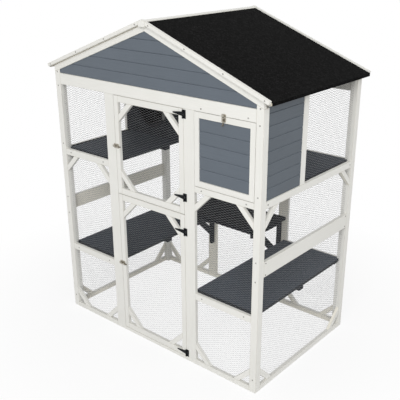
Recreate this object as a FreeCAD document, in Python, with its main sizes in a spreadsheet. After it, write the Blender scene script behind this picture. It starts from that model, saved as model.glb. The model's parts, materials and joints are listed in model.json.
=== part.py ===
import FreeCAD, Part
import math
import os
import Sketcher

# Timber cat house: a post-and-rail cage with a felt gable roof, two boarded sleeping boxes, decks,
# wire nets, two hinged doors and a drop-down hatch.
# Frame: origin on the floor under the middle, +X to the right, +Y to the back, +Z up, millimetres.

driving_sizes = {
    # Plan of the frame
    "frame_width": 1420,
    "frame_depth": 870,
    "post_side": 40,
    "board_thick": 18,
    "bay_width": 360,
    "jamb_width": 66,
    # Rails, beams and studs; a top or a bottom is measured from the floor
    "sole_height": 30,
    "sill_height": 20,
    "lower_rail_top": 441,
    "lower_rail_height": 38,
    "upper_rail_top": 1041,
    "upper_rail_height": 36,
    "hatch_rail_height": 32,
    "hatch_rail_drop": 4,
    "beam_bottom": 1412,
    "beam_height": 61,
    "side_rail_top": 734,
    "side_rail_height": 82,
    "side_stud_offset": 285,
    "side_stud_width": 38,
    "eave_plate_rise": 9,
    # Corner braces
    "brace_leg": 104,
    "brace_width": 27,
    # Roof
    "roof_angle": 20.8,
    "post_shoulder": 4.3,
    "eave_overhang": 39,
    "deck_board_thick": 12,
    "felt_thick": 3,
    "rake_height": 34,
    "barge_height": 19,
    "barge_thick": 18,
    "barge_rise": 6,
    "barge_setback": 4,
    "cap_half_width": 18,
    "cap_height": 3,
    "end_block_width": 44,
    "end_block_height": 35,
    # Boarding
    "siding_pitch": 58.5,
    "siding_thick": 12,
    "siding_recess": 4,
    "siding_groove": 3,
    # Decks, shelf and sleeping boxes
    "deck_thick": 18,
    "deck_width": 388,
    "deck_end_gap": 10,
    "left_deck_gap": 5,
    "right_deck_lap": 14,
    "deck_notch_gap": 1,
    "upper_deck_proud": 4,
    "lower_deck_proud": 9,
    "batten_width": 40,
    "batten_height": 20,
    "shelf_top": 597,
    "shelf_depth": 315,
    "shelf_lap": 1,
    "bracket_thick": 18,
    "bracket_bar": 30,
    "bracket_drop": 314,
    "bracket_reach": 300,
    "bracket_brace_leg": 222,
    "bracket_brace_width": 37,
    "bracket_gap": 0.8,
    "bracket_inset": 26,
    "wall_thick": 12,
    "wall_setback": 1,
    "entry_radius": 116,
    "entry_height": 167,
    # Doors and hatch
    "door_gap": 2,
    "door_split": 868,
    "door_stile": 30,
    "door_rail": 34,
    "hatch_member": 29,
    "hatch_side_gap": 1.5,
    "hatch_foot_gap": 3,
    "pivot_radius": 2.5,
    "pivot_inset": 5,
    "pivot_height": 5,
    "pivot_length": 30,
    "pivot_reach": 12,
    "hole_overrun": 1,
    "running_gap": 0.05,
    "fixed_gap": 0.02,
    # Wire nets
    "net_thick": 1.2,
    "net_pitch": 118,
    "net_wire": 3,
    "net_edge": 10,
    # T-strap hinges
    "strap_length": 62,
    "strap_root": 22,
    "strap_tip": 6,
    "strap_thick": 2.5,
    "hinge_plate_width": 12,
    "hinge_plate_height": 42,
    "knuckle_radius": 4,
    "knuckle_height": 14,
    "knuckle_end": 13.8,
    "knuckle_gap": 0.2,
    "knuckle_stand": 0.4,
    "pin_radius": 2,
    "strap_outer_inset": 24,
    "strap_inner_inset": 92,
    # Barrel bolts
    "bolt_radius": 3,
    "bolt_length": 40,
    "bolt_stand": 3,
    "bolt_plate_length": 22,
    "bolt_plate_width": 25,
    "bolt_plate_thick": 2,
    "bolt_guide_length": 5,
    "bolt_guide_width": 11,
    "bolt_edge_gap": 1,
    "bolt_slack": 0.4,
    "keeper_length": 10,
    "knob_radius": 2.5,
    "knob_length": 9,
    "knob_inset": 1,
    "upper_bolt_height": 1138,
    "lower_bolt_height": 446,
}


class Size(float):
    """A length that carries the spreadsheet expression it was worked out from."""

    def __new__(cls, value, text):
        size = float.__new__(cls, value)
        size.text = text
        return size

    def joined(self, other, sign, value, swapped=False):
        first, second = expression(self), expression(other)
        if swapped:
            first, second = second, first
        return Size(value, "(%s %s %s)" % (first, sign, second))

    def __add__(self, other):
        return self.joined(other, "+", float(self) + float(other))

    def __radd__(self, other):
        return self.joined(other, "+", float(other) + float(self), True)

    def __sub__(self, other):
        return self.joined(other, "-", float(self) - float(other))

    def __rsub__(self, other):
        return self.joined(other, "-", float(other) - float(self), True)

    def __mul__(self, other):
        return self.joined(other, "*", float(self) * float(other))

    def __rmul__(self, other):
        return self.joined(other, "*", float(other) * float(self), True)

    def __truediv__(self, other):
        return self.joined(other, "/", float(self) / float(other))

    def __neg__(self):
        return Size(-float(self), "(0 - %s)" % self.text)


def expression(value):
    return value.text if isinstance(value, Size) else repr(float(value))


def of_angle(name, angle):
    return Size(getattr(math, name)(math.radians(angle)), "%s(%s * 1 deg)" % (name, angle.text))


doc = FreeCAD.newDocument("cat_house")
sheet = doc.addObject("Spreadsheet::Sheet", "sizes")
for row, (alias, value) in enumerate(driving_sizes.items(), start=1):
    sheet.set("A%d" % row, alias)
    sheet.set("B%d" % row, str(value))
    sheet.setAlias("B%d" % row, alias)
doc.recompute()


class Sizes:
    """The sheet's cells as attributes."""


cell = Sizes()
for alias in driving_sizes:
    setattr(cell, alias, Size(sheet.get(alias), "sizes.%s" % alias))

nodes = []
turns = {
    "none": FreeCAD.Rotation(),
    "X": FreeCAD.Rotation(FreeCAD.Vector(1, 0, 0), 180),
    "Y": FreeCAD.Rotation(FreeCAD.Vector(0, 1, 0), 180),
    "Z": FreeCAD.Rotation(FreeCAD.Vector(0, 0, 1), 180),
    "up": FreeCAD.Rotation(FreeCAD.Vector(0, 1, 0), -90),
    "along_x": FreeCAD.Rotation(FreeCAD.Vector(0, 1, 0), 90),
    "along_y": FreeCAD.Rotation(FreeCAD.Vector(1, 0, 0), -90),
    "along_front": FreeCAD.Rotation(FreeCAD.Vector(1, 0, 0), 90),
}


def bind(thing, **values):
    for name, value in values.items():
        setattr(thing, name, float(value))
        if isinstance(value, Size):
            thing.setExpression(name, value.text)


def place(thing, x, y, z, turn="none"):
    thing.Placement = FreeCAD.Placement(FreeCAD.Vector(x, y, z), turns[turn])
    for name, value in (("x", x), ("y", y), ("z", z)):
        if isinstance(value, Size):
            thing.setExpression("Placement.Base.%s" % name, value.text)


def box(x, y, z):
    piece = doc.addObject("Part::Box", "board")
    bind(piece, Length=x[1] - x[0], Width=y[1] - y[0], Height=z[1] - z[0])
    place(piece, x[0], y[0], z[0])
    return piece


def rod(radius, length, x, y, z, turn="none"):
    piece = doc.addObject("Part::Cylinder", "rod")
    bind(piece, Radius=radius, Height=length)
    place(piece, x, y, z, turn)
    return piece


def cut(base, tool):
    piece = doc.addObject("Part::Cut", "cut")
    piece.Base = base
    piece.Tool = tool
    return piece


def fuse(*pieces):
    piece = doc.addObject("Part::MultiFuse", "fuse")
    piece.Shapes = list(pieces)
    return piece


def group(pieces):
    piece = doc.addObject("Part::Compound", "group")
    piece.Links = list(pieces)
    return piece


def node(name, *pieces):
    piece = pieces[0] if len(pieces) == 1 else group(pieces)
    piece.Label = name
    nodes.append(piece)
    return piece


# How a profile turns to face each way from its corner, and which end of its thickness that puts first
profile_turns = {
    "XZ": {(0, 0): ("none", 0), (1, 0): ("Z", 1), (0, 1): ("X", 1), (1, 1): ("Y", 0)},
    "YZ": {(0, 0): ("none", 0), (1, 0): ("Z", 1), (0, 1): ("Y", 1), (1, 1): ("X", 0)},
    "XY": {(0, 0): ("none", 0), (1, 1): ("Z", 0)},
}


def prism(plane, points, span, corner, flips=(0, 0)):
    """A padded outline. Points are measured from the corner, away from it, so none is negative."""
    body = doc.addObject("PartDesign::Body", "body")
    sketch = body.newObject("Sketcher::SketchObject", "outline")
    role = plane + "_Plane"
    planes = [feature for feature in body.Origin.OriginFeatures if feature.Role == role]
    sketch.AttachmentSupport = [(planes[0], "")]
    sketch.MapMode = "FlatFace"
    corners = [FreeCAD.Vector(u, v, 0) for u, v in points]
    count = len(points)
    lines = [Part.LineSegment(corners[i], corners[(i + 1) % count]) for i in range(count)]
    sketch.addGeometry(lines, False)
    for i in range(count):
        sketch.addConstraint(Sketcher.Constraint("Coincident", i, 2, (i + 1) % count, 1))
    for i, (u, v) in enumerate(points):
        for kind, axis, value in (("DistanceX", -2, u), ("DistanceY", -1, v)):
            if float(value) == 0:
                sketch.addConstraint(Sketcher.Constraint("PointOnObject", i, 1, axis))
                continue
            index = sketch.addConstraint(Sketcher.Constraint(kind, -1, 1, i, 1, float(value)))
            sketch.setExpression("Constraints[%d]" % index, expression(value))
    pad = body.newObject("PartDesign::Pad", "pad")
    pad.Profile = sketch
    pad.Reversed = plane == "XZ"
    bind(pad, Length=span[1] - span[0])
    turn, end = profile_turns[plane][flips]
    u, v = corner
    where = {"XZ": (u, span[end], v), "YZ": (span[end], u, v), "XY": (u, v, span[0])}[plane]
    place(body, *where, turn)
    return body


def brace(plane, span, corner, flips, leg, width):
    """A bar across a corner at 45 degrees, with both ends cut to lie flat on its two members."""
    inner = leg - width * math.sqrt(2)
    return prism(plane, [(leg, 0), (0, leg), (0, inner), (inner, 0)], span, corner, flips)


def corner_brace(plane, span, corner, flips):
    return brace(plane, span, corner, flips, cell.brace_leg, cell.brace_width)


def opposite(x, y):
    """The same plan box turned half round the house's middle."""
    return (-x[1], -x[0]), (-y[1], -y[0])


def net(plane, span, u, v):
    """A wire net as one flat face with a grid of gaps, given thickness."""
    width, height = u[1] - u[0], v[1] - v[0]
    columns = max(1, round(width / cell.net_pitch))
    rows = max(1, round(height / cell.net_pitch))
    step_u, step_v = width / columns, height / rows
    half = cell.net_wire / 2

    def point(a, b):
        return FreeCAD.Vector(a, span[0], b) if plane == "XZ" else FreeCAD.Vector(span[0], a, b)

    def loop(a0, a1, b0, b1):
        ring = [point(a0, b0), point(a1, b0), point(a1, b1), point(a0, b1), point(a0, b0)]
        return Part.makePolygon(ring)

    wires = [loop(u[0], u[1], v[0], v[1])]
    for i in range(columns):
        for j in range(rows):
            a, b = u[0] + step_u * i, v[0] + step_v * j
            wires.append(loop(a + half, a + step_u - half, b + half, b + step_v - half))
    face = Part.makeFace(wires, "Part::FaceMakerBullseye")
    thickness = span[1] - span[0]
    away = FreeCAD.Vector(0, thickness, 0) if plane == "XZ" else FreeCAD.Vector(thickness, 0, 0)
    piece = doc.addObject("Part::Feature", "net")
    piece.Shape = face.extrude(away)
    return piece


# Levels and places that several pieces share
left, right = -cell.frame_width / 2, cell.frame_width / 2
front, back = -cell.frame_depth / 2, cell.frame_depth / 2
front_board = (front, front + cell.board_thick)
rear_board = (back - cell.board_thick, back)
left_board = (left, left + cell.board_thick)
right_board = (right - cell.board_thick, right)
left_bay = (left + cell.post_side, left + cell.post_side + cell.bay_width)
right_bay = (-left_bay[1], -left_bay[0])
door_left, door_right = left_bay[1] + cell.jamb_width, -left_bay[1] - cell.jamb_width
side_bay = (front + cell.post_side, back - cell.post_side)
front_inside = front + cell.board_thick + cell.net_thick
left_inside = left + cell.board_thick + cell.net_thick
beam_top = cell.beam_bottom + cell.beam_height
hatch_rail_top = cell.upper_rail_top - cell.hatch_rail_drop
upper_deck_top = cell.upper_rail_top + cell.upper_deck_proud
lower_deck_top = cell.lower_rail_top + cell.lower_deck_proud
left_deck_x = (left_bay[0] + cell.left_deck_gap, left_bay[0] + cell.left_deck_gap + cell.deck_width)
right_deck_x = (right_bay[1] + cell.right_deck_lap - cell.deck_width, right_bay[1] + cell.right_deck_lap)
slope = of_angle("tan", cell.roof_angle)
steepness = of_angle("cos", cell.roof_angle)
roof_run = cell.frame_width / 2 + cell.eave_overhang
deck_rise = cell.deck_board_thick / steepness
felt_rise = cell.felt_thick / steepness
rake_foot = beam_top + cell.post_shoulder
eave_level = rake_foot + cell.rake_height
ridge_underside = eave_level + slope * right
felt_ridge = ridge_underside + deck_rise + felt_rise
eave_plate_bottom = beam_top + cell.eave_plate_rise


def posts(y):
    """The left and right posts of one wall, their tops cut to the roof's slope under the rakes."""
    post_inner = rake_foot + slope * cell.post_side
    points = [(0, 0), (cell.post_side, 0), (cell.post_side, rake_foot), (0, post_inner)]
    floor = 0
    left_post = prism("XZ", points, y, (left_bay[0], floor), (1, 0))
    right_post = prism("XZ", points, y, (right_bay[1], floor))
    return left_post, right_post


def pivot_hole(x):
    """A blind hole for one of the hatch's pivot pins, from a little before x."""
    length = cell.pivot_reach + cell.hole_overrun
    radius = cell.pivot_radius + cell.running_gap
    return rod(radius, length, x, front + cell.pivot_inset, hatch_foot + cell.pivot_height, "along_x")


def front_wall_rails():
    """The rails of the front wall's two side bays. The rear wall has the same, turned half round."""
    sole = (0, cell.sole_height)
    lower = (cell.lower_rail_top - cell.lower_rail_height, cell.lower_rail_top)
    upper = (cell.upper_rail_top - cell.upper_rail_height, cell.upper_rail_top)
    hatch = (hatch_rail_top - cell.hatch_rail_height, hatch_rail_top)
    return [(left_bay, level) for level in (sole, lower, upper)] + [
        (right_bay, level) for level in (sole, lower, hatch)
    ]


def bay_braces(bay, foot, head, span, turned):
    """Braces in a bay's two bottom corners and in the two corners under its upper rail."""
    pieces = []
    for z, flip_v in ((foot, 0), (head, 1)):
        for x, flip_u in ((bay[0], 0), (bay[1], 1)):
            if turned:
                x, flip_u = -x, 1 - flip_u
            pieces.append(corner_brace("XZ", span, (x, z), (flip_u, flip_v)))
    return pieces


def frame_timber():
    left_post, right_post = posts((front, front + cell.post_side))
    node("front_posts", left_post, cut(right_post, pivot_hole(right_bay[1])))
    node("rear_posts", *posts((back - cell.post_side, back)))
    jamb_height = (0, cell.beam_bottom)
    jambs = [(left_bay[1], door_left), (door_right, right_bay[0])]
    left_jamb, right_jamb = [box(x, front_board, jamb_height) for x in jambs]
    jamb_hole = pivot_hole(right_bay[0] - cell.pivot_reach - cell.hole_overrun)
    node("door_jambs", left_jamb, cut(right_jamb, jamb_hole))
    node("rear_studs", *[box(x, rear_board, jamb_height) for x in jambs])
    beam_x, beam_z = (left_bay[0], right_bay[1]), (cell.beam_bottom, beam_top)
    node("top_beams", *[box(beam_x, y, beam_z) for y in (front_board, rear_board)])
    rails = front_wall_rails()
    sill = box((door_left, door_right), front_board, (0, cell.sill_height))
    node("front_rails", sill, *[box(x, front_board, z) for x, z in rails])
    rear_sole = box((door_left, door_right), rear_board, (0, cell.sole_height))
    node("rear_rails", rear_sole, *[box(*opposite(x, front_board), z) for x, z in rails])
    upper_foot = cell.upper_rail_top - cell.upper_rail_height
    hatch_foot_level = hatch_rail_top - cell.hatch_rail_height
    for name, span, turned in (("front_braces", front_board, 0), ("rear_braces", rear_board, 1)):
        pieces = bay_braces(left_bay, cell.sole_height, upper_foot, span, turned)
        pieces += bay_braces(right_bay, cell.sole_height, hatch_foot_level, span, turned)
        node(name, *pieces)


def side_walls():
    """The right wall's studs, rails and braces, each with its half-turned twin on the left."""
    stud_start = side_bay[0] + cell.side_stud_offset
    stud = (stud_start, stud_start + cell.side_stud_width)
    stud_height = (cell.upper_rail_top, eave_plate_bottom)
    twins = [(right_board, stud), opposite(right_board, stud)]
    node("side_studs", *[box(x, y, stud_height) for x, y in twins])
    upper_foot = cell.upper_rail_top - cell.upper_rail_height
    levels = [
        (0, cell.sole_height),
        (cell.side_rail_top - cell.side_rail_height, cell.side_rail_top),
        (upper_foot, cell.upper_rail_top),
    ]
    node("side_rails", *[box(x, side_bay, z) for x in (right_board, left_board) for z in levels])
    pieces = []
    for span in (right_board, left_board):
        for z, flip_v in ((cell.sole_height, 0), (upper_foot, 1)):
            for y, flip_u in ((side_bay[0], 0), (side_bay[1], 1)):
                pieces.append(corner_brace("YZ", span, (y, z), (flip_u, flip_v)))
    node("side_braces", *pieces)
    plate_outer = eave_level - eave_plate_bottom
    plate_inner = plate_outer + slope * cell.board_thick
    points = [(0, 0), (cell.board_thick, 0), (cell.board_thick, plate_outer), (0, plate_inner)]
    node(
        "eave_plates",
        prism("XZ", points, side_bay, (right_board[0], eave_plate_bottom)),
        prism("XZ", points, side_bay, (left_board[1], eave_plate_bottom), (1, 0)),
    )
    return stud


def siding_outline(height):
    """A board's section with its outer face at zero depth and its two outer edges bevelled."""
    bevel, thick = cell.siding_groove, cell.siding_thick
    return [(bevel, 0), (thick, 0), (thick, height), (bevel, height), (0, height - bevel), (0, bevel)]


def siding(plane, outer, length, levels, flip):
    """Level boards one over another, as many as come nearest to the siding pitch."""
    count = max(1, round((levels[1] - levels[0]) / cell.siding_pitch))
    height = (levels[1] - levels[0]) / count
    return [
        prism(plane, siding_outline(height), length, (outer, levels[0] + height * i), (flip, 0))
        for i in range(count)
    ]


def wall_siding(outer, length, levels, flip):
    """Level boards of the full siding pitch from the bottom up, with the top one cut to what is left."""
    pitch = cell.siding_pitch
    count = math.floor((levels[1] - levels[0] - 2 * cell.siding_groove) / pitch)
    heights = [pitch] * count + [levels[1] - levels[0] - pitch * count]
    return [
        prism("XZ", siding_outline(height), length, (outer, levels[0] + pitch * i), (flip, 0))
        for i, height in enumerate(heights)
    ]


def boarding(stud):
    outer = right - cell.siding_recess
    levels = (cell.upper_rail_top, eave_plate_bottom)
    length = (side_bay[0], stud[0])
    node("right_wall_siding", *wall_siding(outer, length, levels, 1))
    node("left_wall_siding", *wall_siding(-outer, (-length[1], -length[0]), levels, 0))
    rear_levels = (hatch_rail_top, cell.beam_bottom)
    node("rear_box_siding", *siding("YZ", back - cell.siding_recess, left_bay, rear_levels, 1))
    half = right_bay[1]
    shoulder = rake_foot + slope * cell.post_side - beam_top
    peak = shoulder + slope * half
    outline = [(0, 0), (half * 2, 0), (half * 2, shoulder), (half, peak), (0, shoulder)]
    count = math.ceil(peak / cell.siding_pitch)
    plan = (
        ("front_gable_boards", front_board, front + cell.siding_recess, 0),
        ("rear_gable_boards", rear_board, back - cell.siding_recess, 1),
    )
    for name, depth, outer, flip in plan:
        pieces = []
        for i in range(count):
            board = prism(
                "YZ", siding_outline(cell.siding_pitch), (left_bay[0], right_bay[1]),
                (outer, beam_top + cell.siding_pitch * i), (flip, 0),
            )
            common = doc.addObject("Part::Common", "gable_board")
            common.Base = board
            common.Tool = prism("XZ", outline, depth, (left_bay[0], beam_top))
            pieces.append(common)
        node(name, *pieces)


def slope_bar(run, height, span, corner, flips):
    """A bar that lies along the roof's slope, with upright ends."""
    rise = slope * run
    return prism("XZ", [(0, rise), (run, 0), (run, height), (0, rise + height)], span, corner, flips)


def both_slopes(run, height, span, start, foot):
    ways = ((start, (0, 0)), (-start, (1, 0)))
    return [slope_bar(run, height, span, (x, foot), flips) for x, flips in ways]


def barge(reach, top, span, flips):
    """A strip along the roof's edge, upright where it meets the ridge block and cut square at the eave."""
    start, height = cell.end_block_width / 2, cell.barge_height
    run, foot = reach - start, top - height - slope * reach
    back_cut = height * slope * steepness * steepness
    rise = slope * run
    points = [(0, rise), (run - back_cut, slope * back_cut), (run, height), (0, rise + height)]
    return prism("XZ", points, span, (-start if flips[0] else start, foot), flips)


def roof():
    pieces = []
    for span in (front_board, rear_board):
        pieces += both_slopes(right, cell.rake_height, span, Size(0, "0"), rake_foot)
    node("rake_boards", *pieces)
    barge_top = felt_ridge + cell.barge_rise
    barge_reach = roof_run + cell.felt_thick - cell.barge_setback
    front_edge, rear_edge = (front - cell.barge_thick, front), (back, back + cell.barge_thick)
    pieces = []
    for span in (front_edge, rear_edge):
        pieces += [barge(barge_reach, barge_top, span, flips) for flips in ((0, 0), (1, 0))]
    node("barge_strips", *pieces)
    eave_foot = ridge_underside - slope * roof_run
    node("roof_decks", *both_slopes(roof_run, deck_rise, (front, back), Size(0, "0"), eave_foot))
    rise = slope * roof_run
    lip = roof_run + cell.felt_thick
    outline = [
        (0, rise + deck_rise), (roof_run, deck_rise), (roof_run, 0), (lip, 0),
        (lip, deck_rise + felt_rise - slope * cell.felt_thick), (0, rise + deck_rise + felt_rise),
    ]
    felts = [prism("XZ", outline, (front, back), (0, eave_foot), flips) for flips in ((0, 0), (1, 0))]
    node("roof_felts", *felts)
    half = cell.cap_half_width
    drop = slope * half
    side, peak = cell.cap_height, drop + cell.cap_height
    cap = [(0, 0), (half, drop), (half * 2, 0), (half * 2, side), (half, peak), (0, side)]
    node("ridge_cap", prism("XZ", cap, (front, back), (-half, felt_ridge - drop)))
    width, peak = cell.end_block_width, cell.end_block_height
    shoulder = peak - slope * width / 2
    block = [(0, 0), (width, 0), (width, shoulder), (width / 2, peak), (0, shoulder)]
    corner = (-width / 2, barge_top - peak)
    node("ridge_end_blocks", *[prism("XZ", block, span, corner) for span in (front_edge, rear_edge)])


def deck_battens(x, middle_x, level):
    """Three battens under a deck: at the front wall, half way and at the rear wall."""
    wide, z = cell.batten_width, (level[0] - cell.batten_height, level[0])
    ends = [box(x, (y0, y0 + wide), z) for y0 in (front_inside, -front_inside - wide)]
    return ends + [box(middle_x, (-wide / 2, wide / 2), z)]


def decks():
    """Two decks on each side. The right-hand ones reach past the posts, which are let into their corners."""
    width, start = cell.deck_width, front_inside + cell.deck_end_gap
    depth = -2 * start
    notch_x = cell.right_deck_lap + cell.deck_notch_gap
    notch_y = side_bay[0] - start + cell.deck_notch_gap
    plain = [(0, 0), (width, 0), (width, depth), (0, depth)]
    notched = [
        (notch_x, 0), (width, 0), (width, depth), (notch_x, depth),
        (notch_x, depth - notch_y), (0, depth - notch_y), (0, notch_y), (notch_x, notch_y),
    ]
    clear_x = (right_deck_x[0], right_bay[1] - cell.deck_notch_gap)
    battens = []
    for name, top in (("upper_deck", upper_deck_top), ("lower_deck", lower_deck_top)):
        level = (top - cell.deck_thick, top)
        node("left_" + name, prism("XY", plain, level, (left_deck_x[0], start)))
        node("right_" + name, prism("XY", notched, level, (right_deck_x[1], -start), (1, 1)))
        battens += deck_battens(left_deck_x, left_deck_x, level)
        battens += deck_battens(clear_x, right_deck_x, level)
    node("deck_battens", *battens)


def middle_shelf():
    """The rear shelf between the two lower decks, on two triangular brackets."""
    rear = -front_inside
    underside = cell.shelf_top - cell.deck_thick
    x = (left_deck_x[1] - cell.shelf_lap, right_deck_x[0] + cell.shelf_lap)
    node("middle_shelf", box(x, (rear - cell.shelf_depth, rear), (underside, cell.shelf_top)))
    bracket_left = left_deck_x[1] + cell.bracket_gap
    bracket_right = x[1] - cell.bracket_inset
    left_bracket = (bracket_left, bracket_left + cell.bracket_thick)
    right_bracket = (bracket_right - cell.bracket_thick, bracket_right)
    bar, leg, width = cell.bracket_bar, cell.bracket_brace_leg, cell.bracket_brace_width
    pieces = []
    for span in (left_bracket, right_bracket):
        pieces.append(box(span, (rear - bar, rear), (underside - cell.bracket_drop, underside)))
        pieces.append(box(span, (rear - cell.bracket_reach, rear - bar), (underside - bar, underside)))
        pieces.append(brace("YZ", span, (rear - bar, underside - bar), (1, 1), leg, width))
    node("shelf_brackets", *pieces)


def sleeping_boxes(stud):
    """Inner walls of the front-right box, and of its half-turned twin at the rear left."""
    level = (upper_deck_top, beam_top)
    wall_end = stud[1] - cell.wall_setback
    wall_y = (wall_end - cell.wall_thick, wall_end)
    side_y = (front_inside, wall_y[0])
    hole_z = upper_deck_top + cell.entry_height
    for name, deck_x, turned in (("front_box", right_deck_x, 0), ("rear_box", left_deck_x, 1)):
        hole = (deck_x[0] + deck_x[1]) / 2
        deck_edge = -deck_x[1] if turned else deck_x[0]
        entry_x, entry_y = (deck_edge, -left_inside), wall_y
        panel_x, panel_y = (deck_edge, deck_edge + cell.wall_thick), side_y
        if turned:
            entry_x, entry_y = opposite(entry_x, entry_y)
            panel_x, panel_y = opposite(panel_x, panel_y)
        depth = cell.wall_thick + 2 * cell.hole_overrun
        tool = rod(cell.entry_radius, depth, hole, entry_y[0] - cell.hole_overrun, hole_z, "along_y")
        node(name + "_entry_wall", cut(box(entry_x, entry_y, level), tool))
        node(name + "_side_wall", box(panel_x, panel_y, level))


def wall_nets(stud):
    front_span = (front + cell.board_thick, front_inside)
    rear_span = (-front_inside, back - cell.board_thick)
    right_span = (-left_inside, right - cell.board_thick)
    left_span = (left + cell.board_thick, left_inside)
    edge, clear = cell.net_edge, cell.deck_notch_gap
    beam_lap = cell.beam_bottom + edge
    foot = cell.sole_height - edge
    left_x = (left_bay[0] + clear, left_bay[1] + edge)
    right_x = (-left_x[1], -left_x[0])
    hatch_lap = hatch_rail_top - cell.hatch_rail_height + edge
    node(
        "front_nets",
        net("XZ", front_span, left_x, (foot, beam_lap)),
        net("XZ", front_span, right_x, (foot, hatch_lap)),
    )
    centre_x = (left_x[1] + clear, right_x[0] - clear)
    node(
        "rear_nets",
        net("XZ", rear_span, left_x, (foot, hatch_lap)),
        net("XZ", rear_span, centre_x, (foot, beam_lap)),
        net("XZ", rear_span, right_x, (foot, beam_lap)),
    )
    rail_middle = cell.upper_rail_top - cell.upper_rail_height / 2
    upper_z = (rail_middle + clear, eave_plate_bottom + edge)
    lower_z = (foot, rail_middle - clear)
    whole_y = (side_bay[0] + clear, side_bay[1] - clear)
    part_y = (stud[1] - edge, side_bay[1] - clear)
    twin_y = (-part_y[1], -part_y[0])
    node("side_upper_nets", net("YZ", right_span, part_y, upper_z), net("YZ", left_span, twin_y, upper_z))
    node("side_lower_nets", net("YZ", right_span, whole_y, lower_z), net("YZ", left_span, whole_y, lower_z))


def framed_leaf(x, z, stile, rail):
    """Two stiles and two rails of a door or hatch leaf, flush with the front."""
    return [
        box((x[0], x[0] + stile), front_board, z),
        box((x[1] - stile, x[1]), front_board, z),
        box((x[0] + stile, x[1] - stile), front_board, (z[0], z[0] + rail)),
        box((x[0] + stile, x[1] - stile), front_board, (z[1] - rail, z[1])),
    ]


def hinge(height):
    """A T-strap hinge on the right jamb: its fixed plate, its strap and its pin."""
    axis_x = door_right - cell.door_gap / 2
    axis_y = front - cell.knuckle_radius - cell.knuckle_stand
    clear = cell.knuckle_radius + cell.knuckle_stand
    middle, end = cell.knuckle_height, cell.knuckle_end
    skin = (front - cell.strap_thick, front)
    plate_x = (axis_x + clear, axis_x + clear + cell.hinge_plate_width)
    low = height - middle / 2
    foot = low - cell.knuckle_gap - end
    head = height + middle / 2 + cell.knuckle_gap
    ends = [(foot, foot + end), (head, head + end)]
    half_plate = cell.hinge_plate_height / 2
    plate = [box(plate_x, skin, (height - half_plate, height + half_plate))]
    for z in ends:
        plate.append(box((axis_x, plate_x[0]), skin, z))
        plate.append(rod(cell.knuckle_radius, end, axis_x, axis_y, z[0]))
    pin_length = 2 * (end + cell.knuckle_gap) + middle
    bore = rod(cell.pin_radius + cell.fixed_gap, pin_length, axis_x, axis_y, foot)
    plate = cut(fuse(*plate), bore)
    root, tip = cell.strap_root, cell.strap_tip
    neck_low, neck_high = (root - middle) / 2, (root + middle) / 2
    tip_low, tip_high = (root - tip) / 2, (root + tip) / 2
    length = cell.strap_length
    taper = [
        (0, tip_low), (length, 0), (length, neck_low), (length + clear, neck_low),
        (length + clear, neck_high), (length, neck_high), (length, root), (0, tip_high),
    ]
    strap = prism("XZ", taper, skin, (axis_x - clear - length, height - root / 2))
    knuckle = rod(cell.knuckle_radius, middle, axis_x, axis_y, low)
    bore = rod(cell.pin_radius + cell.running_gap, pin_length, axis_x, axis_y, foot)
    strap = cut(fuse(strap, knuckle), bore)
    pin = rod(cell.pin_radius, pin_length, axis_x, axis_y, foot)
    return plate, strap, pin


def barrel_bolt(x, z, turn):
    """A barrel bolt at a leaf's edge, drawn back: its guide, its bolt and the keeper beyond the gap."""
    length, width, thick = cell.bolt_plate_length, cell.bolt_plate_width, cell.bolt_plate_thick
    reach = cell.bolt_radius * 2 + cell.bolt_stand
    axis_y = -thick - cell.bolt_stand / 2 - cell.bolt_radius
    half_guide = cell.bolt_guide_width / 2
    first = -cell.bolt_edge_gap
    plate_x = (first - length, first)
    guide_y = (-thick - reach, -thick)
    guide = [box(plate_x, (-thick, 0), (-width / 2, width / 2))]
    for start in (plate_x[0], first - cell.bolt_guide_length):
        guide.append(box((start, start + cell.bolt_guide_length), guide_y, (-half_guide, half_guide)))
    over = cell.hole_overrun
    bore_radius = cell.bolt_radius + cell.running_gap
    bore = rod(bore_radius, length + 2 * over, plate_x[0] - over, axis_y, 0, "along_x")
    guide = cut(fuse(*guide), bore)
    shank = rod(cell.bolt_radius, cell.bolt_length, first - cell.bolt_length, axis_y, 0, "along_x")
    knob_x = first - cell.bolt_length + cell.knob_radius + cell.knob_inset
    knob = rod(cell.knob_radius, cell.knob_length, knob_x, axis_y, 0, "along_front")
    bolt = fuse(shank, knob)
    start = cell.door_gap + cell.bolt_edge_gap
    keeper_x = (start, start + cell.keeper_length)
    keeper = fuse(
        box(keeper_x, (-thick, 0), (-width / 2, width / 2)),
        box(keeper_x, guide_y, (-half_guide, half_guide)),
    )
    through = cell.keeper_length + 2 * over
    hole = rod(cell.bolt_radius + cell.bolt_slack, through, start - over, axis_y, 0, "along_x")
    keeper = cut(keeper, hole)
    for piece in (guide, bolt, keeper):
        place(piece, x, front, z, turn)
    return guide, bolt, keeper


door_x = (door_left + cell.door_gap, door_right - cell.door_gap)
lower_door_z = (cell.sill_height + cell.door_gap, cell.door_split - cell.door_gap)
upper_door_z = (cell.door_split + cell.door_gap, cell.beam_bottom - cell.door_gap)
hatch_x = (right_bay[0] + cell.hatch_side_gap, right_bay[1] - cell.hatch_side_gap)
hatch_foot = hatch_rail_top + cell.hatch_foot_gap
hatch_z = (hatch_foot, cell.beam_bottom - cell.door_gap)


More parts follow.
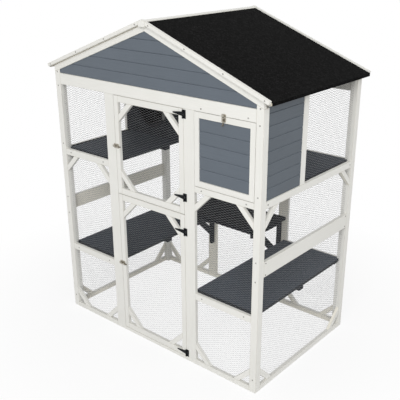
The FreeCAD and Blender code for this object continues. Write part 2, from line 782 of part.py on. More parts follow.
def doors():
    plates, pins, keepers = [], [], []
    outer, inner = cell.strap_outer_inset, cell.strap_inner_inset
    plan = (
        ("upper_door", upper_door_z, cell.upper_bolt_height, (inner, outer)),
        ("lower_door", lower_door_z, cell.lower_bolt_height, (outer, inner)),
    )
    net_span = (front + cell.board_thick, front_inside)
    for name, z, bolt_height, insets in plan:
        leaf = framed_leaf(door_x, z, cell.door_stile, cell.door_rail)
        inner_x = (door_x[0] + cell.door_stile, door_x[1] - cell.door_stile)
        inner_z = (z[0] + cell.door_rail, z[1] - cell.door_rail)
        for level, flip_v in ((inner_z[0], 0), (inner_z[1], 1)):
            for side, flip_u in ((inner_x[0], 0), (inner_x[1], 1)):
                leaf.append(corner_brace("XZ", front_board, (side, level), (flip_u, flip_v)))
        node(name + "_frame", *leaf)
        edge = cell.net_edge
        lap_x = (inner_x[0] - edge, inner_x[1] + edge)
        lap_z = (inner_z[0] - edge, inner_z[1] + edge)
        node(name + "_net", net("XZ", net_span, lap_x, lap_z))
        straps = []
        for height in (z[0] + insets[0], z[1] - insets[1]):
            plate, strap, pin = hinge(height)
            plates.append(plate)
            straps.append(strap)
            pins.append(pin)
        node(name + "_hinge_straps", *straps)
        guide, bolt, keeper = barrel_bolt(door_x[0], bolt_height, "Y")
        node(name + "_bolt_guide", guide)
        node(name + "_bolt", bolt)
        keepers.append(keeper)
    node("hinge_plates", *plates)
    node("hinge_pins", *pins)
    return keepers


def hatch(keepers):
    """The drop-down hatch of the front box, turning on two hidden pins at its foot."""
    leaf = framed_leaf(hatch_x, hatch_z, cell.hatch_member, cell.hatch_member)
    pivot_y = front + cell.pivot_inset
    pivot_z = hatch_foot + cell.pivot_height
    buried = cell.pivot_length - cell.pivot_reach
    pins = []
    for i, start in ((0, hatch_x[0] - cell.pivot_reach), (1, hatch_x[1] - buried)):
        hole = rod(cell.pivot_radius + cell.fixed_gap, cell.pivot_length, start, pivot_y, pivot_z, "along_x")
        leaf[i] = cut(leaf[i], hole)
        pins.append(rod(cell.pivot_radius, cell.pivot_length, start, pivot_y, pivot_z, "along_x"))
    node("hatch_frame", *leaf)
    member = cell.hatch_member
    inner_x = (hatch_x[0] + member, hatch_x[1] - member)
    inner_z = (hatch_z[0] + member, hatch_z[1] - member)
    node("hatch_boards", *siding("YZ", front + cell.siding_recess, inner_x, inner_z, 0))
    node("hatch_pins", *pins)
    guide, bolt, keeper = barrel_bolt((hatch_x[0] + hatch_x[1]) / 2, hatch_z[1], "up")
    node("hatch_bolt_guide", guide)
    node("hatch_bolt", bolt)
    node("bolt_keepers", *keepers, keeper)


def check_and_write():
    doc.recompute()
    for thing in doc.Objects:
        if "Invalid" in thing.State or "Error" in thing.State:
            raise RuntimeError("%s failed: %s" % (thing.Label, thing.State))
    os.makedirs("parts", exist_ok=True)
    for piece in nodes:
        if piece.Shape.isNull() or not piece.Shape.isValid():
            raise RuntimeError("%s has no valid shape" % piece.Label)
    for piece in nodes:
        piece.Shape.exportStep("parts/%s.step" % piece.Label)
        box_size = piece.Shape.BoundBox
        print("%-26s %3d solids  %s" % (piece.Label, len(piece.Shape.Solids), box_size))


frame_timber()
wall_stud = side_walls()
boarding(wall_stud)
roof()
decks()
middle_shelf()
sleeping_boxes(wall_stud)
wall_nets(wall_stud)
hatch(doors())
check_and_write()
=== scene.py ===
import json
import math

import bpy
from mathutils import Matrix, Vector


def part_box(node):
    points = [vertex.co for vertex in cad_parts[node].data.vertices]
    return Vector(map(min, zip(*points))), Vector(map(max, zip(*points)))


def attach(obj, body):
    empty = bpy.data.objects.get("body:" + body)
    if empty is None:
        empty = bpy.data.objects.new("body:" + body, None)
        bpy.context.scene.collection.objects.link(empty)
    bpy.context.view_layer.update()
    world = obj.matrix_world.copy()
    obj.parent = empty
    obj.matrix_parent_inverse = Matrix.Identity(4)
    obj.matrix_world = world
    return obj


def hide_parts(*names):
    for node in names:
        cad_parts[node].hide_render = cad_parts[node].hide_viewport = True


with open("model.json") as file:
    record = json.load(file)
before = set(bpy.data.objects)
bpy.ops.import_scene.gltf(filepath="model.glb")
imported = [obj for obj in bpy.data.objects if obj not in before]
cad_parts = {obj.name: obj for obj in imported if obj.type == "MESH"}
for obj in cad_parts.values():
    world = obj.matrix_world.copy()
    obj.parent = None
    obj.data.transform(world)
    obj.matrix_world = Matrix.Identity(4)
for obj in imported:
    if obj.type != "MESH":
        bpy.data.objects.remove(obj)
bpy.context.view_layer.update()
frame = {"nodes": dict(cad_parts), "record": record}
nodes = frame["nodes"]
bodyOf = {node: body for body, names in frame["record"]["behaviour"]["bodies"].items() for node in names}
print("stage: frame loaded,", len(nodes), "nodes")


def linearColour(hexText):
    channels = [int(hexText[i:i + 2], 16) / 255 for i in (1, 3, 5)]
    return tuple(c / 12.92 if c <= 0.04045 else ((c + 0.055) / 1.055) ** 2.4 for c in channels) + (1.0,)


def addNode(tree, kind, inputs=None, **settings):
    # a Mix of colours takes them at inputs 6 and 7 and gives its result at output 2
    node = tree.nodes.new("ShaderNode" + kind)
    for name, value in settings.items():
        setattr(node, name, value)
    for name, value in (inputs or {}).items():
        if isinstance(value, bpy.types.NodeSocket):
            tree.links.new(value, node.inputs[name])
        else:
            node.inputs[name].default_value = value
    return node


def newMaterial(name):
    material = bpy.data.materials.new(name)
    material.use_nodes = True
    tree = material.node_tree
    return material, tree, tree.nodes["Principled BSDF"]


def finish(tree, shader, colour, rough, bump):
    tree.links.new(colour, shader.inputs["Base Color"])
    tree.links.new(rough.outputs["Result"], shader.inputs["Roughness"])
    tree.links.new(bump.outputs["Normal"], shader.inputs["Normal"])


# shared by the paints: detail of grain and clouds, the span of a noise that is used, raised grain in metres
coat = {"detail": 4.0, "broken": 0.6, "cloudDetail": 2.0, "span": (0.3, 0.7), "raised": 0.0004, "ior": 1.42}


def paintedWood(name, tones, gloss, figure):
    # brushed paint over planed softwood: two close tones follow the grain, a third clouds it and sets
    # timbers apart, and the bump is the raised grain under the coat
    material, tree, shader = newMaterial(name)
    place = addNode(tree, "Attribute", attribute_name="grain").outputs["Vector"]
    own = addNode(tree, "Attribute", attribute_name="tone").outputs["Fac"]
    across, along = 1 / figure["across"], 1 / figure["along"]
    grainPlace = addNode(tree, "Mapping", {"Vector": place, "Scale": (along, across, across)})
    grain = addNode(tree, "TexNoise", {"Vector": grainPlace.outputs["Vector"], "Scale": 1.0,
                                       "Detail": coat["detail"], "Roughness": coat["broken"]})
    cloud = addNode(tree, "TexNoise", {"Vector": place, "Scale": 1 / figure["cloud"],
                                       "Detail": coat["cloudDetail"]})
    first, second, third = (linearColour(tone) for tone in tones)
    low, high = coat["span"]
    line = addNode(tree, "MapRange", {"Value": grain.outputs["Fac"], "From Min": low, "From Max": high})
    tint = addNode(tree, "Mix", {"Factor": line.outputs["Result"], 6: first, 7: second}, data_type="RGBA")
    fade = addNode(tree, "MapRange", {"Value": cloud.outputs["Fac"], "From Min": low, "From Max": high,
                                      "To Max": figure["cloudShare"]})
    dull = addNode(tree, "Mix", {"Factor": fade.outputs["Result"], 6: tint.outputs[2], 7: third},
                   data_type="RGBA")
    apart = addNode(tree, "MapRange", {"Value": own, "To Max": figure["timberShare"]})
    hue = addNode(tree, "Mix", {"Factor": apart.outputs["Result"], 6: dull.outputs[2], 7: third},
                  data_type="RGBA")
    rough = addNode(tree, "MapRange", {"Value": grain.outputs["Fac"], "To Min": gloss[0],
                                       "To Max": gloss[1]})
    bump = addNode(tree, "Bump", {"Height": grain.outputs["Fac"], "Strength": figure["relief"],
                                  "Distance": coat["raised"]})
    finish(tree, shader, hue.outputs[2], rough, bump)
    shader.inputs["IOR"].default_value = coat["ior"]
    shader.inputs["Specular IOR Level"].default_value = figure["shine"]
    return material


# sizes in metres; real grain lines are under 1 mm apart, drawn at 3 to 4 mm so that they hold in a picture
whiteFigure = {"across": 0.003, "along": 0.09, "cloud": 0.25, "cloudShare": 0.35, "timberShare": 0.25,
               "relief": 0.35, "shine": 0.5}
slateFigure = {"across": 0.003, "along": 0.12, "cloud": 0.2, "cloudShare": 0.4, "timberShare": 0.3,
               "relief": 0.4, "shine": 0.5}
deckFigure = {"across": 0.004, "along": 0.1, "cloud": 0.12, "cloudShare": 0.5, "timberShare": 0.2,
              "relief": 0.3, "shine": 0.12}
# each paint has three tones, its least and most roughness, and its figure
# satin white on the frame, greyer where the arrises are rubbed; on faces turned indoors a brighter, warmer
# white is painted light, for warm light bounced about inside
whitePaint = paintedWood("satinWhitePaint", ("#EDECE7", "#E6E5E0", "#E0DFD8"), (0.42, 0.58), whiteFigure)
whiteArris = paintedWood("wornWhitePaint", ("#DEDCD4", "#D6D4CB", "#CCC9BF"), (0.5, 0.65), whiteFigure)
paintedLightWhite = paintedWood("whitePaintWithPaintedLightOnInnerFaces", ("#F8F4E8", "#F2EEE2", "#ECE8DC"), (0.42, 0.58),
                        whiteFigure)
# satin slate on the boarding, darker on the side walls as painted shade, and paler where the arrises are
# rubbed
slatePaint = paintedWood("satinSlatePaint", ("#646C75", "#5E666F", "#586068"), (0.4, 0.55), slateFigure)
shadedSideSlate = paintedWood("satinSlatePaintWithPaintedShadeOnSideWalls", ("#5A626A", "#545C64", "#4F565D"), (0.4, 0.55),
                        slateFigure)
slateArris = paintedWood("wornSlatePaint", ("#6B727A", "#656C74", "#5F666E"), (0.45, 0.6), slateFigure)
# matt grey on the wide deck, darker where its arrises are rubbed; the other greys carry painted shade, where
# the light falls off indoors
deckPaint = paintedWood("mattGreyPaint", ("#515760", "#4A5058", "#444950"), (0.55, 0.7), deckFigure)
# painted shade: the three other decks darker than the wide one
shadedDeckPaint = paintedWood("mattGreyPaintWithPaintedShadeOnDecks", ("#3A4049", "#343A42", "#2F343B"), (0.55, 0.7),
                             deckFigure)
deckArris = paintedWood("wornGreyPaint", ("#474A4F", "#404347", "#393C40"), (0.6, 0.75), deckFigure)
# painted shade: upright edges of the decks, and arrises of the darker decks and shelf, darker than the tops
shadedDeckEdge = paintedWood("greyPaintWithPaintedShadeOnEdges", ("#36393D", "#303337", "#2B2D31"), (0.65, 0.8), deckFigure)
# a dark grey for battens and brackets, also on the box walls, where it carries painted shade for their dim
# insides
darkGreyWithPaintedShade = paintedWood("mattDarkGreyPaint", ("#2A2D32", "#26282D", "#222428"), (0.6, 0.75), deckFigure)
# painted shade: the shelf under the upper decks darkest of all
shadedShelfPaint = paintedWood("mattGreyPaintWithPaintedShadeOnShelf", ("#1D2025", "#1A1C21", "#17191D"), (0.65, 0.8),
                         deckFigure)
# near-black without gloss on the backs of the boards, painted shade for the dim insides of the walls and
# boxes, and chalky primer on the roof boards
paintedShadeIndoors = paintedWood("blackPaintedShadeOnBoardBacks", ("#0E0E0E", "#0C0C0C", "#0A0A0A"), (0.7, 0.85), deckFigure)
bareBoard = paintedWood("primedRoofBoard", ("#CFC9BB", "#C3BCAC", "#B9B1A0"), (0.6, 0.75), slateFigure)

# sizes in metres; the grit is 1 to 2 mm, drawn at 6 mm so that it shows
grittyFelt = {"grit": 0.006, "patch": 0.03, "detail": 4.0, "broken": 0.7, "ground": "#020202",
              "speck": "#202020", "worn": "#040404", "speckSpan": (0.45, 0.95), "wornSpan": (0.35, 0.65),
              "wornShare": 0.6, "gloss": (0.8, 0.95), "relief": 0.5, "raised": 0.001, "shine": 0.06}


def mineralFelt():
    # bitumen felt pressed with black slate grit: pale specks, darker patches and a sandy bump on near black
    material, tree, shader = newMaterial("gritCoatedBitumenFelt")
    place = addNode(tree, "TexCoord").outputs["Object"]
    grit = addNode(tree, "TexVoronoi", {"Vector": place, "Scale": 1 / grittyFelt["grit"]})
    patch = addNode(tree, "TexNoise", {"Vector": place, "Scale": 1 / grittyFelt["patch"],
                                       "Detail": grittyFelt["detail"], "Roughness": grittyFelt["broken"]})
    ground, pale, worn = (linearColour(grittyFelt[part]) for part in ("ground", "speck", "worn"))
    low, high = grittyFelt["speckSpan"]
    speck = addNode(tree, "MapRange", {"Value": grit.outputs["Color"], "From Min": low, "From Max": high})
    tone = addNode(tree, "Mix", {"Factor": speck.outputs["Result"], 6: ground, 7: pale}, data_type="RGBA")
    low, high = grittyFelt["wornSpan"]
    share = addNode(tree, "MapRange", {"Value": patch.outputs["Fac"], "From Min": low, "From Max": high,
                                       "To Max": grittyFelt["wornShare"]})
    hue = addNode(tree, "Mix", {"Factor": share.outputs["Result"], 6: tone.outputs[2], 7: worn},
                  data_type="RGBA")
    low, high = grittyFelt["gloss"]
    rough = addNode(tree, "MapRange", {"Value": patch.outputs["Fac"], "To Min": low, "To Max": high})
    bump = addNode(tree, "Bump", {"Height": grit.outputs["Distance"], "Strength": grittyFelt["relief"],
                                  "Distance": grittyFelt["raised"]})
    finish(tree, shader, hue.outputs[2], rough, bump)
    shader.inputs["Specular IOR Level"].default_value = grittyFelt["shine"]
    return material


# shared by the metals: detail of the clouds, strength of the bump and its height in metres
plating = {"detail": 3.0, "relief": 0.2, "raised": 0.0002}


def metal(name, tones, metallic, gloss, cloudSize, shine=0.5):
    # plated or coated steel: cloudy tone and uneven gloss
    material, tree, shader = newMaterial(name)
    place = addNode(tree, "TexCoord").outputs["Object"]
    cloud = addNode(tree, "TexNoise", {"Vector": place, "Scale": 1 / cloudSize, "Detail": plating["detail"]})
    first, second = (linearColour(tone) for tone in tones)
    tint = addNode(tree, "Mix", {"Factor": cloud.outputs["Fac"], 6: first, 7: second}, data_type="RGBA")
    rough = addNode(tree, "MapRange", {"Value": cloud.outputs["Fac"], "To Min": gloss[0],
                                       "To Max": gloss[1]})
    bump = addNode(tree, "Bump", {"Height": cloud.outputs["Fac"], "Strength": plating["relief"],
                                  "Distance": plating["raised"]})
    finish(tree, shader, tint.outputs[2], rough, bump)
    shader.inputs["Metallic"].default_value = metallic
    shader.inputs["Specular IOR Level"].default_value = shine
    return material


felt = mineralFelt()
# wire dulled to an even zinc grey
netWire = metal("galvanisedWire", ("#949597", "#868789"), metallic=0.1, gloss=(0.5, 0.65), cloudSize=0.02)
# a soft black skin with little shine
blackCoat = metal("blackPowderCoatedSteel", ("#06080C", "#0C0E13"), metallic=0.0, gloss=(0.5, 0.65),
                  cloudSize=0.004, shine=0.2)
# bright warm zinc, browner on the bolts and dull on the screws
zincPlate = metal("zincPlatedSteel", ("#C2BDB2", "#ABA69B"), metallic=1.0, gloss=(0.3, 0.45),
                  cloudSize=0.006)
boltSteel = metal("brownedZincSteel", ("#8C8577", "#756E62"), metallic=0.9, gloss=(0.35, 0.5),
                  cloudSize=0.005)
screwSteel = metal("dullScrewSteel", ("#6E6B64", "#5C5953"), metallic=0.6, gloss=(0.45, 0.6),
                   cloudSize=0.003)
# CAD nodes that keep their own mesh
keptNodes = {
    "roof_felts": felt, "upper_door_hinge_straps": blackCoat, "lower_door_hinge_straps": blackCoat,
    "hinge_plates": blackCoat, "hinge_pins": blackCoat, "upper_door_bolt_guide": zincPlate,
    "upper_door_bolt": boltSteel, "lower_door_bolt_guide": zincPlate, "lower_door_bolt": boltSteel,
    "hatch_bolt_guide": zincPlate, "hatch_bolt": boltSteel, "hatch_pins": zincPlate,
    "bolt_keepers": zincPlate,
}
for nodeName, material in keptNodes.items():
    kept = nodes[nodeName]
    if not kept.material_slots:
        kept.data.materials.append(material)
    for place in kept.material_slots:
        place.material = material
print("stage: finishes on", len(keptNodes), "CAD nodes")


def pick(*pieces):
    bpy.ops.object.select_all(action="DESELECT")
    for piece in pieces:
        piece.select_set(True)
    bpy.context.view_layer.objects.active = pieces[0]


def camelName(nodeName):
    first, *rest = nodeName.split("_")
    return first + "".join(word.capitalize() for word in rest)


weldDigits = 6  # corners that agree to a micrometre are one


def solidsOf(nodeName):
    # the CAD triangles come solid by solid, and a solid is whole once every edge has met its partner
    mesh = nodes[nodeName].data
    solids, faces, waiting = [], [], set()
    for face in mesh.polygons:
        ring = [tuple(round(c, weldDigits) for c in mesh.vertices[i].co) for i in face.vertices]
        faces.append(ring)
        for pair in zip(ring, ring[1:] + ring[:1]):
            waiting ^= {frozenset(pair)}
        if not waiting:
            solids.append(faces)
            faces = []
    return solids + [faces] if faces else solids


def spanOf(solid):
    points = [point for ring in solid for point in ring]
    return Vector([min(axis) for axis in zip(*points)]), Vector([max(axis) for axis in zip(*points)])


# from one timber to the next, the figure's move in metres and the tone's step; an edge is the longest only
# if it gains more than the tie
timberStep = {"shift": (0.37, 0.19, 0.23), "tone": 0.618, "tie": 1e-5}


def layGrain(mesh):
    # grain runs along each timber's longest edge, and each timber has its own tone and place in the figure
    leader = list(range(len(mesh.vertices)))

    def home(i):
        while leader[i] != i:
            leader[i] = leader[leader[i]]
            i = leader[i]
        return i

    for edge in mesh.edges:
        leader[home(edge.vertices[0])] = home(edge.vertices[1])
    runs = {}
    for edge in mesh.edges:
        run = mesh.vertices[edge.vertices[1]].co - mesh.vertices[edge.vertices[0]].co
        key = home(edge.vertices[0])
        if key not in runs or run.length > runs[key].length + timberStep["tie"]:
            runs[key] = run
    frames = {}
    for number, key in enumerate(sorted(runs)):
        along = runs[key].normalized()
        across = along.orthogonal().normalized()
        turn = Matrix((along, across, along.cross(across)))
        frames[key] = turn, Vector(timberStep["shift"]) * number, number * timberStep["tone"] % 1
    grain, tones = [], []
    for vertex in mesh.vertices:
        turn, shift, tone = frames[home(vertex.index)]
        grain.extend(turn @ vertex.co + shift)
        tones.append(tone)
    mesh.attributes.new("grain", "FLOAT_VECTOR", "POINT").data.foreach_set("vector", grain)
    mesh.attributes.new("tone", "FLOAT", "POINT").data.foreach_set("value", tones)


# degrees under which faces are one and over which an edge is eased, the cut's segments, and how far a face
# turns indoors or upright
arrisCut = {"flat": 1, "sharp": 30, "segments": 2, "indoors": 0.2, "upright": 0.5}


def paintThird(mesh, kind):
    # the third paint goes on upright faces or faces turned indoors, and a fourth on indoor faces by the
    # sleeping boxes: painted shade on deck edges, board backs and box insides, painted warm light on the
    # white frame's indoor faces
    for face in mesh.polygons:
        indoors = face.normal.x * face.center.x + face.normal.y * face.center.y < -arrisCut["indoors"]
        chosen = indoors if kind["third"] == "backs" else abs(face.normal.z) < arrisCut["upright"]
        if face.material_index == 0 and chosen:
            face.material_index = 2
        if indoors and "boxed" in kind and face.center.z > kind["boxed"]:
            face.material_index = 3


def easedTimbers(nodeName, kind):
    # the CAD timbers with their arrises taken off, so that each joint shows as a fine line
    points, faces = [], []
    for solid in solidsOf(nodeName):
        numbers = {}
        for ring in solid:
            for point in ring:
                if point not in numbers:
                    numbers[point] = len(points)
                    points.append(point)
            faces.append([numbers[point] for point in ring])
    mesh = bpy.data.meshes.new(camelName(nodeName))
    mesh.from_pydata(points, [], faces)
    piece = bpy.data.objects.new(camelName(nodeName), mesh)
    bpy.context.collection.objects.link(piece)
    for paint in kind["paints"]:
        mesh.materials.append(paint)
    pick(piece)
    bpy.ops.object.mode_set(mode="EDIT")
    bpy.ops.mesh.select_all(action="SELECT")
    bpy.ops.mesh.dissolve_limited(angle_limit=math.radians(arrisCut["flat"]))
    bpy.ops.object.mode_set(mode="OBJECT")
    arris = piece.modifiers.new("arris", "BEVEL")
    arris.width = kind["ease"]
    arris.segments = arrisCut["segments"]
    arris.limit_method = "ANGLE"
    arris.angle_limit = math.radians(arrisCut["sharp"])
    arris.material = 1
    bpy.ops.object.modifier_apply(modifier=arris.name)
    if "third" in kind:
        paintThird(mesh, kind)
    layGrain(mesh)
    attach(piece, bodyOf[nodeName])
    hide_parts(nodeName)
    return piece


# metres off each arris, and the paints of faces, arrises and what paintThird picks; "boxed" is the level
# in metres from which a wall belongs to a sleeping box, whose indoor faces there take painted shade
timberKinds = [
    {"slot": "white_paint", "ease": 0.0014, "paints": (whitePaint, whiteArris),
     "nodes": ("front_posts", "rear_posts", "door_jambs", "top_beams", "front_rails", "front_braces",
               "eave_plates", "rake_boards", "barge_strips", "ridge_cap", "ridge_end_blocks",
               "upper_door_frame", "lower_door_frame", "hatch_frame")},
    {"slot": "white_paint", "ease": 0.0014, "third": "backs", "paints": (whitePaint, whiteArris, paintedLightWhite),
     "nodes": ("rear_studs", "rear_rails", "rear_braces", "side_studs", "side_braces")},
    {"slot": "white_paint", "ease": 0.0014, "third": "backs", "boxed": 1.0,
     "paints": (whitePaint, whiteArris, paintedLightWhite, paintedShadeIndoors), "nodes": ("side_rails",)},
    {"slot": "slate_paint", "ease": 0.0004, "third": "backs", "paints": (slatePaint, slateArris, paintedShadeIndoors),
     "nodes": ("rear_box_siding", "front_gable_boards", "rear_gable_boards")},
    {"slot": "slate_paint", "ease": 0.0004, "paints": (slatePaint, slateArris), "nodes": ("hatch_boards",)},
    {"slot": "slate_paint", "ease": 0.0004, "third": "backs", "paints": (shadedSideSlate, slateArris, paintedShadeIndoors),
     "nodes": ("right_wall_siding", "left_wall_siding")},
    {"slot": "grey_paint", "ease": 0.001, "third": "edges", "paints": (deckPaint, deckArris, shadedDeckEdge),
     "nodes": ("right_lower_deck",)},
    {"slot": "grey_paint", "ease": 0.001, "third": "edges", "paints": (shadedDeckPaint, shadedDeckEdge, shadedDeckEdge),
     "nodes": ("left_upper_deck", "right_upper_deck", "left_lower_deck")},
    {"slot": "grey_paint", "ease": 0.001, "paints": (shadedShelfPaint, shadedDeckEdge), "nodes": ("middle_shelf",)},
    {"slot": "grey_paint", "ease": 0.001, "paints": (darkGreyWithPaintedShade, darkGreyWithPaintedShade),
     "nodes": ("deck_battens", "shelf_brackets", "front_box_entry_wall", "front_box_side_wall",
               "rear_box_entry_wall", "rear_box_side_wall")},
    {"slot": "bare_board", "ease": 0.0006, "paints": (bareBoard, bareBoard), "nodes": ("roof_decks",)},
]
for kind in timberKinds:
    for nodeName in kind["nodes"]:
        made = easedTimbers(nodeName, kind)
        print("timber", made.name, len(made.data.polygons))
print("stage: timbers")


# six-sided wire mesh: one patch of two twisted and four straight runs of wire, repeated over each opening;
# the cells are drawn a little coarser than real so that they show at a picture's size
net = {"wide": 0.031, "high": 0.0126, "wire": 0.0002, "twist": 0.0007, "sides": 4}
netNodes = ("front_nets", "rear_nets", "side_upper_nets", "side_lower_nets", "upper_door_net",
            "lower_door_net")


def netPatch():
    side, half = net["wide"] / 3, net["high"] / 2
    runs = [((-side / 2, half), (side / 2, half), "twist"), ((side / 2, half), (side, 0), "wire"),
            ((side, 0), (2 * side, 0), "twist"), ((2 * side, 0), (2.5 * side, half), "wire"),
            ((side, 0), (side / 2, -half), "wire"), ((2 * side, 0), (2.5 * side, -half), "wire")]
    made = []
    for (x0, z0), (x1, z1), wire in runs:
        bpy.ops.object.select_all(action="DESELECT")
        bpy.ops.mesh.primitive_cylinder_add(
            vertices=net["sides"], radius=net[wire], depth=math.hypot(x1 - x0, z1 - z0),
            end_fill_type="NOTHING", location=((x0 + x1) / 2, 0, (z0 + z1) / 2),
            rotation=(0, math.atan2(x1 - x0, z1 - z0), 0))
        made.append(bpy.context.object)
    pick(*made)
    bpy.ops.object.join()
    bpy.ops.object.transform_apply(location=True, rotation=True, scale=True)
    return bpy.context.object


def wireNet(name, patch, solid, nodeName):
    # made flat over x and z, then turned to the wall that the CAD net lies in
    low, high = spanOf(solid)
    sideways = high.x - low.x < high.y - low.y
    across = (low.y, high.y) if sideways else (low.x, high.x)
    piece = bpy.data.objects.new(name, patch.data.copy())
    bpy.context.collection.objects.link(piece)
    pick(piece)
    for axis, step, length in ((0, net["wide"], across[1] - across[0]), (2, net["high"], high.z - low.z)):
        row = piece.modifiers.new("row", "ARRAY")
        row.use_relative_offset = False
        row.use_constant_offset = True
        row.constant_offset_displace = [step if i == axis else 0 for i in range(3)]
        row.count = math.ceil(length / step) + 2  # one to spare at each end
        bpy.ops.object.modifier_apply(modifier=row.name)
    bpy.ops.object.mode_set(mode="EDIT")
    bpy.ops.mesh.select_all(action="SELECT")
    bpy.ops.transform.translate(value=(across[0] - net["wide"] / 2, 0, low.z - net["high"] / 2))
    for point, normal in (((across[0], 0, 0), (-1, 0, 0)), ((across[1], 0, 0), (1, 0, 0)),
                          ((0, 0, low.z), (0, 0, -1)), ((0, 0, high.z), (0, 0, 1))):
        bpy.ops.mesh.select_all(action="SELECT")
        bpy.ops.mesh.bisect(plane_co=point, plane_no=normal, clear_outer=True)
    bpy.ops.object.mode_set(mode="OBJECT")
    middle = (low + high) / 2
    turn = Matrix.Rotation(math.pi / 2, 4, "Z") if sideways else Matrix.Identity(4)
    piece.data.transform(Matrix.Translation((middle.x, 0, 0) if sideways else (0, middle.y, 0)) @ turn)
    piece.data.materials.append(netWire)
    piece.visible_shadow = False  # wire this fine throws no shadow that shows
    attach(piece, bodyOf[nodeName])
    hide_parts(nodeName)
    return piece


patch = netPatch()
for nodeName in netNodes:
    for number, solid in enumerate(solidsOf(nodeName)):
        made = wireNet(camelName(nodeName) + str(number + 1), patch, solid, nodeName)
        print("net", made.name, len(made.data.polygons))
bpy.data.objects.remove(patch)
print("stage: nets")


# countersunk screw heads in metres; the face that looks up more than this is the top
screw = {"radius": 0.0036, "rise": 0.0007, "rim": 0.0016, "recess": 0.0011, "sides": 10, "looksUp": 0.9}
# from the end or edge of a rail, the beam, a side rail, a pair's rail and a barge strip, in metres
screwInset = {"rail": 0.044, "beam": 0.014, "side": 0.014, "pair": 0.01, "strip": 0.026}
# screws on a barge strip, whose long edges drift less than this in y
stripScrew = {"count": 4, "drift": 1e-4}
# a post's screws, measured from the beam, the upper and middle rails and the floor, in metres
postScrew = {"overBeam": 0.004, "underBeam": 0.01, "overUpper": 0.027, "overMiddle": 0.005,
             "underMiddle": 0.015, "overFloor": 0.074}
# levels that tell the rails apart, and the depth from which a rail has two screws at an end, in metres
railLevel = {"bottom": 0.1, "middle": (0.3, 0.9), "upper": 1.0, "deep": 0.06}


def screwHead():
    bpy.ops.object.select_all(action="DESELECT")
    bpy.ops.mesh.primitive_cylinder_add(vertices=screw["sides"], radius=screw["radius"],
                                        depth=2 * screw["rise"])
    head = bpy.context.object
    bpy.ops.object.mode_set(mode="EDIT")
    bpy.ops.mesh.select_mode(type="FACE")
    bpy.ops.mesh.select_all(action="DESELECT")
    bpy.ops.object.mode_set(mode="OBJECT")
    for face in head.data.polygons:
        face.select = face.normal.z > screw["looksUp"]
    bpy.ops.object.mode_set(mode="EDIT")
    bpy.ops.mesh.inset(thickness=screw["rim"])  # the driver's recess
    bpy.ops.mesh.extrude_region_move(TRANSFORM_OT_translate={"value": (0, 0, -screw["recess"])})
    bpy.ops.object.mode_set(mode="OBJECT")
    return head


def screwSet(name, head, places, body, material):
    made = []
    for point, normal in places:
        copy = bpy.data.objects.new(name, head.data.copy())
        bpy.context.collection.objects.link(copy)
        turn = Vector(normal).to_track_quat("Z", "Y").to_matrix().to_4x4()
        copy.data.transform(Matrix.Translation(point) @ turn)
        made.append(copy)
    pick(*made)
    bpy.ops.object.join()
    piece = bpy.context.object
    piece.name = name
    piece.data.materials.append(material)
    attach(piece, body)
    print("screws", name, len(places))


def barScrews(solid, count, inset):
    # spaced along a sloping strip's middle line, on its outer face
    points = {Vector(point).freeze() for ring in solid for point in ring}
    middle = sum(points, Vector()) / len(points)
    low, high = spanOf(solid)
    edges = [Vector(b) - Vector(a) for ring in solid for a, b in zip(ring, ring[1:] + ring[:1])]
    along = max((edge for edge in edges if abs(edge.y) < stripScrew["drift"]), key=lambda edge: edge.length)
    reach = along.length / 2 - inset
    out = -1 if middle.y < 0 else 1
    face = low.y if out < 0 else high.y
    spots = [middle + along.normalized() * reach * (2 * i / (count - 1) - 1) for i in range(count)]
    return [((spot.x, face, spot.z), (0, out, 0)) for spot in spots]


head = screwHead()
wallScrews = []
beamLow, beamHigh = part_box("top_beams")
for wall, railNode in ((-1, "front_rails"), (1, "rear_rails")):
    rails = [spanOf(solid) for solid in solidsOf(railNode)]
    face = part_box(railNode)[0].y if wall < 0 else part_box(railNode)[1].y
    bays = [(low, high) for low, high in rails if low.x * high.x > 0 and low.z > railLevel["bottom"]]
    for low, high in bays:
        for x in (low.x + screwInset["rail"], high.x - screwInset["rail"]):
            wallScrews.append(((x, face, (low.z + high.z) / 2), (0, wall, 0)))
            if low.z > railLevel["upper"] and x * wall < 0:  # the beam over a hatch
                wallScrews.append(((x, face, beamLow.z + screwInset["beam"]), (0, wall, 0)))
sideRails = [spanOf(solid) for solid in solidsOf("side_rails")]
lowest, highest = railLevel["middle"]
middleLow, middleHigh = next(span for span in sideRails if lowest < span[0].z < highest)
upperTop = max(high.z for low, high in sideRails)
postLevels = (beamHigh.z + postScrew["overBeam"], beamLow.z - postScrew["underBeam"],
              upperTop + postScrew["overUpper"], middleHigh.z + postScrew["overMiddle"],
              middleLow.z - postScrew["underMiddle"], postScrew["overFloor"])
for postNode, wall in (("front_posts", -1), ("rear_posts", 1)):
    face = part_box(postNode)[0].y if wall < 0 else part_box(postNode)[1].y
    for solid in solidsOf(postNode):
        low, high = spanOf(solid)
        for level in postLevels:
            wallScrews.append((((low.x + high.x) / 2, face, level), (0, wall, 0)))
for low, high in sideRails:  # through each end of a side wall's rails
    if low.z < railLevel["bottom"]:
        continue
    out = 1 if low.x > 0 else -1
    face = high.x if out > 0 else low.x
    pair = (low.z + screwInset["pair"], high.z - screwInset["pair"])
    levels = pair if high.z - low.z > railLevel["deep"] else ((low.z + high.z) / 2,)
    for y in (low.y + screwInset["side"], high.y - screwInset["side"]):
        for level in levels:
            wallScrews.append(((face, y, level), (out, 0, 0)))
for solid in solidsOf("barge_strips"):
    wallScrews.extend(barScrews(solid, stripScrew["count"], screwInset["strip"]))
screwSet("frameScrews", head, wallScrews, "frame", screwSteel)
bpy.data.objects.remove(head)
print("stage: screws")


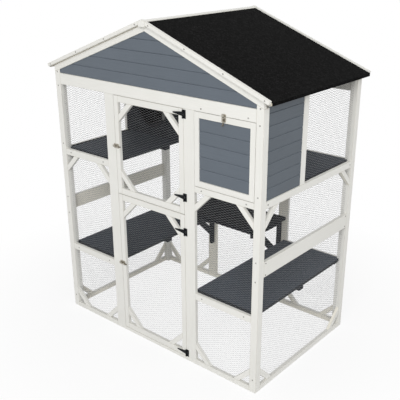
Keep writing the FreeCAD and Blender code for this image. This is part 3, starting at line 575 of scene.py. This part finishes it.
# a plain pale floor that fades to white, a soft even room and a strong and a weak softbox; sizes in metres,
# and for each box degrees round from the front and up, and watts
studio = {
    "floorSize": 60, "floorDrop": 0.001, "floorRough": 0.9, "floorBounce": 0.66, "floorSeen": 0.95,
    "floorGlow": 0.85, "fade": (0.95, 1.9), "room": 0.5,
    "boxSize": 5.0, "boxFar": 8.0, "target": (0, 0, 0.9),
    "boxes": ({"round": 30, "up": 28, "power": 378}, {"round": 85, "up": 25, "power": 85}),
}
bpy.ops.object.select_all(action="DESELECT")
bpy.ops.mesh.primitive_plane_add(size=studio["floorSize"], location=(0, 0, -studio["floorDrop"]))
floor = bpy.context.object
floor.name = "studioFloor"


def seenRay(tree):
    # 1 where the eye, a mirror image or a view through glass meets the background
    path = addNode(tree, "LightPath").outputs
    shiny = addNode(tree, "Math", {0: path["Is Glossy Ray"], 1: path["Is Transmission Ray"]},
                    operation="MAXIMUM")
    seen = addNode(tree, "Math", {0: path["Is Camera Ray"], 1: shiny.outputs[0]}, operation="MAXIMUM")
    return seen.outputs[0]


floorMaterial, floorTree, floorShader = newMaterial("paleStudioFloor")
floorShader.inputs["Roughness"].default_value = studio["floorRough"]
floorShader.inputs["Specular IOR Level"].default_value = 0.0
seen = seenRay(floorTree)
pale = addNode(floorTree, "MapRange", {"Value": seen, "To Min": studio["floorBounce"],
                                       "To Max": studio["floorSeen"]})
floorTree.links.new(pale.outputs["Result"], floorShader.inputs["Base Color"])
spread = addNode(floorTree, "TexCoord").outputs["Object"]
away = addNode(floorTree, "VectorMath", {0: spread}, operation="LENGTH").outputs["Value"]
near, far = studio["fade"]
white = addNode(floorTree, "MapRange", {"Value": away, "From Min": near, "From Max": far,
                                        "To Min": studio["floorGlow"], "To Max": 1.0})
share = addNode(floorTree, "Math", {0: seen, 1: white.outputs["Result"]}, operation="MULTIPLY")
glow = addNode(floorTree, "Emission", {"Color": (1, 1, 1, 1), "Strength": 1.0})
blend = addNode(floorTree, "MixShader", {"Fac": share.outputs[0], 1: floorShader.outputs["BSDF"],
                                         2: glow.outputs["Emission"]})
floorTree.links.new(blend.outputs["Shader"], floorTree.nodes["Material Output"].inputs["Surface"])
floor.data.materials.append(floorMaterial)

world = bpy.data.worlds.new("studio")
bpy.context.scene.world = world
world.use_nodes = True
sky = world.node_tree
level = addNode(sky, "MapRange", {"Value": seenRay(sky), "To Min": studio["room"], "To Max": 1.0})
sky.nodes["Background"].inputs["Color"].default_value = (1, 1, 1, 1)
sky.links.new(level.outputs["Result"], sky.nodes["Background"].inputs["Strength"])

for number, box in enumerate(studio["boxes"]):
    lamp = bpy.data.lights.new("softbox" + str(number + 1), "AREA")
    lamp.energy = box["power"]
    lamp.size = studio["boxSize"]
    softbox = bpy.data.objects.new(lamp.name, lamp)
    bpy.context.collection.objects.link(softbox)
    turn, rise = math.radians(box["round"]), math.radians(box["up"])
    toBox = Vector((math.sin(turn) * math.cos(rise), -math.cos(turn) * math.cos(rise), math.sin(rise)))
    softbox.location = Vector(studio["target"]) + toBox * studio["boxFar"]
    softbox.rotation_euler = toBox.to_track_quat("Z", "Y").to_euler()

# fitted to the photo: metres, degrees round from the front, down and rolled, millimetres of lens and sensor,
# and the lens's rise, a share of the frame, which keeps the upright edges
view = {"place": (2.3173, -2.7316, 2.1496), "round": 40.658, "down": 22.659, "roll": -0.319, "lens": 59.8,
        "sensor": 36, "rise": 0.04132}
camData = bpy.data.cameras.new("camera")
camData.lens = view["lens"]
camData.sensor_width = view["sensor"]
camData.shift_y = view["rise"]
camera = bpy.data.objects.new("camera", camData)
bpy.context.collection.objects.link(camera)
aim = Matrix.Translation(view["place"])
for angle, axis in ((view["round"], "Z"), (90 - view["down"], "X"), (view["roll"], "Z")):
    aim = aim @ Matrix.Rotation(math.radians(angle), 4, axis)
camera.matrix_world = aim
bpy.context.scene.camera = camera
bpy.context.scene.view_settings.view_transform = "Standard"
print("stage: floor, light and camera")
